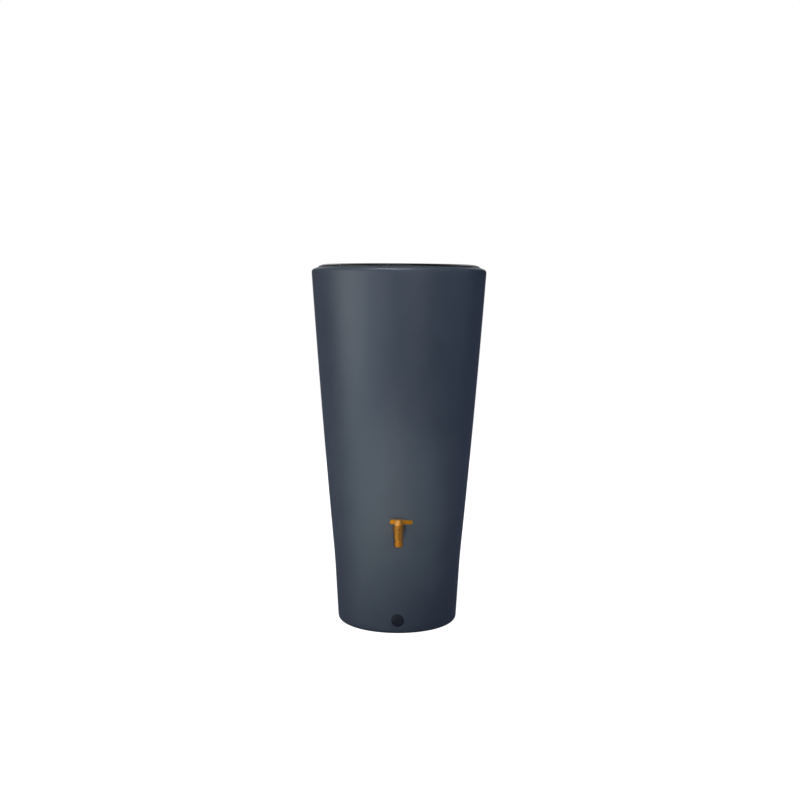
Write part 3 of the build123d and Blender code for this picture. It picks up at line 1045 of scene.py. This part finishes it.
    def build_bar(self) -> bpy.types.Object:
        """Models the lever's cross bar: its long face, drawn out to its depth.

        Returns:
            The bar, in its place about the spindle's axis.
        """
        low = self.hub_bottom + self.bar_lift
        high = low + self.bar_height
        corners = [
            Corner(-self.bar_short_end, low, self.bar_short_round),
            Corner(self.bar_long_end, low, self.bar_long_round),
            Corner(self.bar_long_end, high - self.bar_fall, self.bar_long_round),
            Corner(0.0, high, self.bar_crest_round),
            Corner(-self.bar_short_end, high, self.bar_short_round),
        ]
        bar = chain("lever_bar", rounded(corners, closed=True))
        bpy.ops.mesh.remove_doubles(threshold=SAME_POINT)
        bpy.ops.mesh.edge_face_add()
        bpy.ops.mesh.extrude_region_move(TRANSFORM_OT_translate={"value": (0, self.bar_depth * MM, 0)})
        bpy.ops.mesh.select_all(action="SELECT")
        bpy.ops.mesh.normals_make_consistent(inside=False)
        bpy.ops.transform.translate(value=(0, -self.bar_depth / 2 * MM, 0))
        bpy.ops.object.mode_set(mode="OBJECT")
        return bar

    def build_hub(self) -> bpy.types.Object:
        """Models the lever's hub, whose side starts upright and curves in.

        Returns:
            The hub, in its place about the spindle's axis.
        """
        inset = self.hub_radius - self.hub_top_radius
        height = self.hub_top - self.hub_bottom
        side = []
        for row in range(1, self.hub_rows):
            radius = self.hub_radius - inset * (row / self.hub_rows) ** 2
            side.append(Corner(radius, self.hub_bottom + height * row / self.hub_rows))
        corners = [
            Corner(0, self.hub_bottom),
            Corner(self.hub_radius, self.hub_bottom, self.hub_foot_round),
            *side,
            Corner(self.hub_top_radius, self.hub_top, self.hub_top_round),
            Corner(0, self.hub_top),
        ]
        return turned("lever_casting", corners)

    def build_lever(self) -> bpy.types.Object:
        """Models hub and bar as one casting, then machines the places for spindle, screw and cap.

        Returns:
            The lever.
        """
        bar = self.build_bar()
        lever = self.build_hub()
        shape(lever, Shaping.ADD, bar)
        soften(lever, self.lever_voxel, self.lever_rounds)
        # The bar thins towards its ends, so that it reads as a grip from above
        for vertex in lever.data.vertices:
            past = max(0.0, abs(vertex.co.x) / MM - self.hub_radius)
            vertex.co.y *= 1 - self.bar_taper * past
        low = self.hub_bottom - self.overrun
        high = self.hub_top + self.overrun
        shoulder = self.hub_bottom + self.spindle_room_depth
        screw_seat = self.spindle_top + self.screw_seat
        cap_room = self.cap_radius + self.cap_gap
        corners = [
            Corner(0, low),
            Corner(self.spindle_room, low),
            Corner(self.spindle_room, shoulder),
            Corner(self.screw_bore, shoulder),
            Corner(self.screw_bore, screw_seat),
            Corner(self.screw_head_room, screw_seat),
            Corner(self.screw_head_room, self.hub_top - self.cap_height),
            Corner(cap_room, self.hub_top - self.cap_height),
            Corner(cap_room, high),
            Corner(0, high),
        ]
        shape(lever, Shaping.CUT, turned("sockets", corners, self.fine_steps))
        deep = self.spindle_top + self.square_gap - self.hub_bottom
        size = Vector((self.square_width, self.square_width, deep))
        socket = block("socket", size, Vector((0, 0, self.hub_bottom + deep / 2)), self.square_round)
        shape(lever, Shaping.CUT, socket)
        return stand(lever, self.axis)

    def build_cap(self) -> bpy.types.Object:
        """Models the slightly domed cap over the lever's screw.

        Returns:
            The cap.
        """
        bottom = self.hub_top - self.cap_height
        crown = self.cap_radius * self.cap_crown
        corners = [
            Corner(0, bottom),
            Corner(self.cap_radius, bottom, self.cap_foot_round),
            Corner(self.cap_radius, self.hub_top - self.cap_dome, self.cap_edge_round),
            Corner(crown, self.hub_top - self.cap_crown_drop, self.cap_crown_round),
            Corner(0, self.hub_top),
        ]
        return stand(turned("lever_screw_cap", corners, self.fine_steps), self.axis)

    def build_nozzle(self) -> bpy.types.Object:
        """Models the nozzle and winds its thread, which fades out at both ends.

        Returns:
            The nozzle.
        """
        shoulder = self.bottom - self.nozzle_groove
        first_row = round(self.nozzle_tip * self.thread_rows) + self.thread_first_row
        last_row = round(shoulder * self.thread_rows) - self.thread_last_row
        chamfered = self.thread_radius - self.nozzle_chamfer
        corners = [
            Corner(self.nozzle_bore, self.nozzle_tip, self.nozzle_edge_round),
            Corner(chamfered, self.nozzle_tip),
            *[Corner(self.thread_radius, row / self.thread_rows) for row in range(first_row, last_row)],
            Corner(chamfered, shoulder),
            Corner(self.nozzle_groove_radius, shoulder),
            Corner(self.nozzle_groove_radius, self.bottom),
            Corner(self.nozzle_spigot_radius, self.bottom),
            Corner(self.nozzle_spigot_radius, self.nozzle_top, self.nozzle_edge_round),
            Corner(self.nozzle_bore, self.nozzle_top, self.nozzle_edge_round),
        ]
        nozzle = turned("threaded_nozzle", corners, self.fine_steps, closed=True)
        for vertex in nozzle.data.vertices:
            reach = math.hypot(vertex.co.x, vertex.co.y)
            if reach < (self.thread_radius - self.thread_surface) * MM:
                continue
            height = vertex.co.z / MM
            around = math.atan2(vertex.co.y, vertex.co.x) / math.tau
            phase = (height / self.thread_pitch - around) % 1.0
            flank = min(1.0, max(0.0, self.thread_crest - self.thread_slope * abs(phase - 0.5)))
            below = height - self.nozzle_tip - self.thread_start
            above = shoulder - height - self.thread_start
            fade = max(0.0, min(1.0, below / self.thread_fade, above / self.thread_fade))
            smaller = self.thread_depth * MM * (1 - flank) * fade
            vertex.co.x *= 1 - smaller / reach
            vertex.co.y *= 1 - smaller / reach
        return stand(nozzle, self.axis)

    def dress(self) -> None:
        """Models the tap's pieces and dresses them, the pieces inside and the barrel's bushes and seals."""
        brass = LACQUERED_BRASS.make()
        rubber = EPDM_RUBBER.make()
        finish_piece(self.build_body(), Body.BARREL, brass, "tap_body")
        finish_piece(self.build_washer(), Body.BARREL, rubber, "tap_washer")
        finish_piece(self.build_lever(), Body.LEVER, brass, "tap_lever")
        finish_piece(self.build_cap(), Body.LEVER, brass, "lever_cap")
        finish_piece(self.build_nozzle(), Body.BARREL, PALER_LIT_THREAD_BRASS.make(), "hose_nozzle")
        dress_nodes(brass, "headwork")
        dress_nodes(MACHINED_BRASS.make(), "tap_bush", "spindle", "drain_bush")
        dress_nodes(rubber, "headwork_gasket", "seat_seal", "spindle_rings", "nozzle_gasket")
        dress_nodes(rubber, "drain_seal", "inlet_seal")
        dress_nodes(ALUMINA.make(), "fixed_disc", "turning_disc")
        dress_nodes(STAINLESS.make(), "spindle_clip", "lever_screw")


@dataclass
class Drain:
    """The drain plug; sizes in millimetres."""

    plug_radius: float = 17.5
    plug_height: float = 5.0
    plug_back_round: float = 0.6
    plug_face_round: float = 1.5
    thread_radius: float = 10.9
    thread_length: float = 12.0
    thread_round: float = 1.0
    grip_radius: float = 12.0
    grip_wall: float = 2.5
    grip_height: float = 3.0
    grip_draft: float = 0.2  # how much wider the grip's foot is, inside and outside
    grip_foot_round: float = 0.8
    grip_round: float = 0.9
    bar_width: float = 4.0
    bar_root: float = 1.0  # how deep the bar reaches into the plug's face

    def build(self) -> bpy.types.Object:
        """Models the plug with its grip ring and the bar across it.

        Returns:
            The plug.
        """
        top = self.plug_height + self.grip_height
        inner = self.grip_radius - self.grip_wall
        corners = [
            Corner(0, -self.thread_length),
            Corner(self.thread_radius, -self.thread_length, self.thread_round),
            Corner(self.thread_radius, 0),
            Corner(self.plug_radius, 0, self.plug_back_round),
            Corner(self.plug_radius, self.plug_height, self.plug_face_round),
            Corner(self.grip_radius + self.grip_draft, self.plug_height, self.grip_foot_round),
            Corner(self.grip_radius, top, self.grip_round),
            Corner(inner, top, self.grip_round),
            Corner(inner - self.grip_draft, self.plug_height, self.grip_foot_round),
            Corner(0, self.plug_height),
        ]
        plug = turned("drain_cap", corners)
        deep = self.grip_height + self.bar_root
        size = Vector((2 * self.grip_radius - self.grip_wall, self.bar_width, deep))
        bar = block("bar", size, Vector((0, 0, top - deep / 2)), self.grip_round)
        shape(plug, Shaping.ADD, bar)
        place = middle("drain_plug")
        place.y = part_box("drain_plug")[0].y + top * MM
        return stand(plug, place, Facing.FRONT)

    def dress(self) -> None:
        """Models the plug and gives it its finish."""
        finish_piece(self.build(), Body.PLUG, DARK_POLYPROPYLENE.make(), "drain_plug")


@dataclass
class HoseInlet:
    """The filling hose's connection at the rear; sizes in millimetres."""

    bore: float = 12.5
    bore_round: float = 0.6
    thread_radius: float = 17.0
    thread_length: float = 26.0
    thread_round: float = 0.8
    flange_radius: float = 27.0
    flange_height: float = 4.0
    flange_back_round: float = 0.6
    flange_face_round: float = 1.2
    hose_radius: float = 16.0
    hose_length: float = 40.0
    hose_fillet: float = 1.5
    barb_height: float = 1.0
    barb_length: float = 8.0
    barb_ramp: float = 5.0
    barb_ramp_round: float = 0.3
    barb_root_round: float = 0.15
    barb_edge_round: float = 0.25
    barb_count: int = 3
    tip_round: float = 0.8

    def build(self) -> bpy.types.Object:
        """Models the flanged spigot with its barbs.

        Returns:
            The spigot.
        """
        tip = self.flange_height + self.hose_length
        slim = self.hose_radius - self.barb_height
        barbs: list[Corner] = []
        for step in reversed(range(self.barb_count)):
            end = tip - step * self.barb_length
            barbs.append(Corner(self.hose_radius, end - self.barb_ramp, self.barb_ramp_round))
            barbs.append(Corner(slim, end, self.barb_root_round if step else self.tip_round))
            if step:
                barbs.append(Corner(self.hose_radius, end, self.barb_edge_round))
        corners = [
            Corner(self.bore, -self.thread_length, self.bore_round),
            Corner(self.thread_radius, -self.thread_length, self.thread_round),
            Corner(self.thread_radius, 0),
            Corner(self.flange_radius, 0, self.flange_back_round),
            Corner(self.flange_radius, self.flange_height, self.flange_face_round),
            Corner(self.hose_radius, self.flange_height, self.hose_fillet),
            *barbs,
            Corner(self.bore, tip, self.bore_round),
        ]
        spigot = turned("hose_spigot", corners, closed=True)
        place = middle("inlet_spigot")
        place.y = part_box("inlet_seal")[1].y
        return stand(spigot, place, Facing.REAR)

    def dress(self) -> None:
        """Models the spigot and dresses it and its nut."""
        black = BLACK_POLYPROPYLENE.make()
        finish_piece(self.build(), Body.BARREL, black, "inlet_spigot")
        dress_nodes(black, "inlet_nut")


# ---------------------------------------------------------------- studio


@dataclass(frozen=True)
class SoftLight:
    """A rectangular soft light that faces the barrel's axis, or upwards; metres, degrees and watts."""

    name: str
    bearing: float  # round the barrel from the front, positive to the right
    distance: float
    height: float
    width: float
    length: float
    power: float
    colour: str = "ffffff"
    aim: float | None = 0.65  # height of the point on the axis that it faces, or none to face up
    beam: float = 180.0  # full angle of the light's beam

    def build(self) -> None:
        """Adds the light."""
        turn = math.radians(self.bearing)
        place = Vector((math.sin(turn) * self.distance, -math.cos(turn) * self.distance, self.height))
        bpy.ops.object.light_add(type="AREA", location=place)
        lamp = bpy.context.object
        lamp.name = self.name
        lamp.rotation_euler = (math.pi, 0, -turn)
        if self.aim is not None:
            lamp.rotation_euler = (Vector((0, 0, self.aim)) - place).to_track_quat("-Z", "Y").to_euler()
        lamp.data.shape = "RECTANGLE"
        lamp.data.size = self.width
        lamp.data.size_y = self.length
        lamp.data.energy = self.power
        lamp.data.spread = math.radians(self.beam)
        lamp.data.color = linear(self.colour)[:3]
        lamp.visible_camera = False


FLOOR_LEVEL = 0.005  # height of the lights that lie on the ground, just clear of it

# Name, bearing, distance, height, width, length, power and colour
LIGHTS = (
    SoftLight("key_left", -66.0, 3.4, 1.5, 2.9, 2.6, 40.0, "fff2e2"),
    SoftLight("low_left", -60.0, 3.0, 0.6, 2.2, 1.0, 16.0, "d4f0ff", aim=0.4),
    SoftLight("mid_front", -24.0, 3.4, 1.1, 1.2, 1.2, 8.0, "eef3ff", aim=0.9),
    SoftLight("low_front", -20.0, 3.0, 0.5, 1.6, 0.8, 4.8, "dee8ff", aim=0.4),
    SoftLight("fill_right", 20.0, 3.4, 1.5, 2.1, 2.6, 25.0, "edf5ff"),
    SoftLight("edge_right", 75.0, 3.4, 1.5, 3.2, 2.6, 15.5, "c9deff"),
    SoftLight("fill_rear", 180.0, 3.4, 1.5, 2.6, 2.6, 20.0),
    SoftLight("overhead", -18.0, 0.7, 3.2, 1.0, 1.2, 34.0, aim=1.19),
    SoftLight("glint", -3.0, 3.0, 0.9, 0.3, 0.3, 0.34, "fff4e0", aim=0.37, beam=16.0),
    SoftLight("floor_left", -45.0, 2.4, FLOOR_LEVEL, 1.8, 1.8, 7.3, "dbe4ff", aim=None),
    SoftLight("floor_near_left", -43.0, 1.31, FLOOR_LEVEL, 1.2, 0.8, 2.3, "f8ffe7", aim=None),
    SoftLight("floor_near_right", 46.0, 1.38, FLOOR_LEVEL, 0.9, 0.8, 1.8, "e3f3ff", aim=None),
)


@dataclass(frozen=True)
class Studio:
    """Camera, lights, pale floor and backdrop; metres and degrees."""

    camera_place: tuple[float, float, float] = (-0.045, -3.7475, 1.1265)
    pitch: float = -5.79
    yaw: float = -0.775
    roll: float = 0.346
    lens: float = 50.3
    sensor: float = 36.0
    view_range: float = 200.0
    floor_size: float = 60.0
    floor_shade: str = "c8c8c8"
    dome_shade: str = "000000"
    dome_faces: int = 64  # faces round the dome, and half as many up it
    # The room's shades from straight down, 0, to straight up, 1; the ground is dark right under the barrel
    room: tuple[tuple[float, str], ...] = (
        (0.22, "0c0c10"),
        (0.35, "5d617a"),
        (0.48, "5d617a"),
        (0.52, "14151a"),
    )

    def build_camera(self) -> None:
        """Adds the camera and makes it the scene's own."""
        bpy.ops.object.camera_add(location=self.camera_place)
        camera = bpy.context.object
        camera.name = "camera"
        turn = (
            Matrix.Rotation(math.radians(self.yaw), 3, "Z")
            @ Matrix.Rotation(math.radians(90 + self.pitch), 3, "X")
            @ Matrix.Rotation(math.radians(self.roll), 3, "Z")
        )
        camera.rotation_euler = turn.to_euler()
        camera.data.lens = self.lens
        camera.data.sensor_width = self.sensor
        camera.data.clip_end = self.view_range
        bpy.context.scene.camera = camera

    def build_world(self) -> None:
        """Gives the room a dim light that comes from the pale ground rather than from above."""
        world = bpy.data.worlds.new("studio")
        bpy.context.scene.world = world
        world.use_nodes = True
        tree = world.node_tree
        place = add_node(tree, "ShaderNodeTexCoord").outputs["Generated"]
        height = add_node(tree, "ShaderNodeSeparateXYZ", links={"Vector": place}).outputs["Z"]
        spread = add_node(
            tree, "ShaderNodeMapRange", {"From Min": -1.0, "From Max": 1.0}, {"Value": height}
        )
        ramp = add_node(tree, "ShaderNodeValToRGB", links={"Fac": spread.outputs["Result"]})
        stops = ramp.color_ramp.elements
        stops.remove(stops[1])
        stops[0].position = self.room[0][0]
        stops[0].color = linear(self.room[0][1])
        for position, shade in self.room[1:]:
            stops.new(position).color = linear(shade)
        backdrop = tree.nodes["Background"]
        tree.links.new(ramp.outputs["Color"], backdrop.inputs["Color"])

    def build_floor(self) -> None:
        """Lays a plain pale floor under a plain pale dome."""
        bpy.ops.object.select_all(action="DESELECT")
        bpy.ops.mesh.primitive_plane_add(size=self.floor_size)
        floor = bpy.context.object
        floor.name = "studio_floor"
        bpy.ops.mesh.primitive_uv_sphere_add(
            segments=self.dome_faces, ring_count=self.dome_faces // 2, radius=self.floor_size
        )
        dome = bpy.context.object
        dome.name = "studio_dome"
        bpy.ops.object.shade_smooth()
        for stage, shade in ((floor, self.floor_shade), (dome, self.dome_shade)):
            material = bpy.data.materials.new(stage.name)
            material.use_nodes = True
            shader = material.node_tree.nodes["Principled BSDF"]
            shader.inputs["Base Color"].default_value = linear(shade)
            shader.inputs["Roughness"].default_value = 1.0
            shader.inputs["Specular IOR Level"].default_value = 0.0
            shader.inputs["Emission Color"].default_value = linear("ffffff")
            shader.inputs["Emission Strength"].default_value = 1.0
            stage.data.materials.append(material)
            stage.visible_diffuse = False
            stage.visible_glossy = False
            stage.visible_shadow = False

    def build(self) -> None:
        """Sets up the studio."""
        bpy.context.scene.view_settings.view_transform = "Standard"
        self.build_camera()
        self.build_world()
        self.build_floor()
        for light in LIGHTS:
            light.build()


def main() -> None:
    """Builds the studio and the rain barrel's sub-assemblies in order."""
    logging.basicConfig(level=logging.INFO, format="%(message)s")
    Studio().build()
    for assembly in (Barrel(), Planter(), Tap(), Drain(), HoseInlet()):
        assembly.dress()
        log.info("%s is dressed", type(assembly).__name__)


if __name__ == "__main__":
    main()
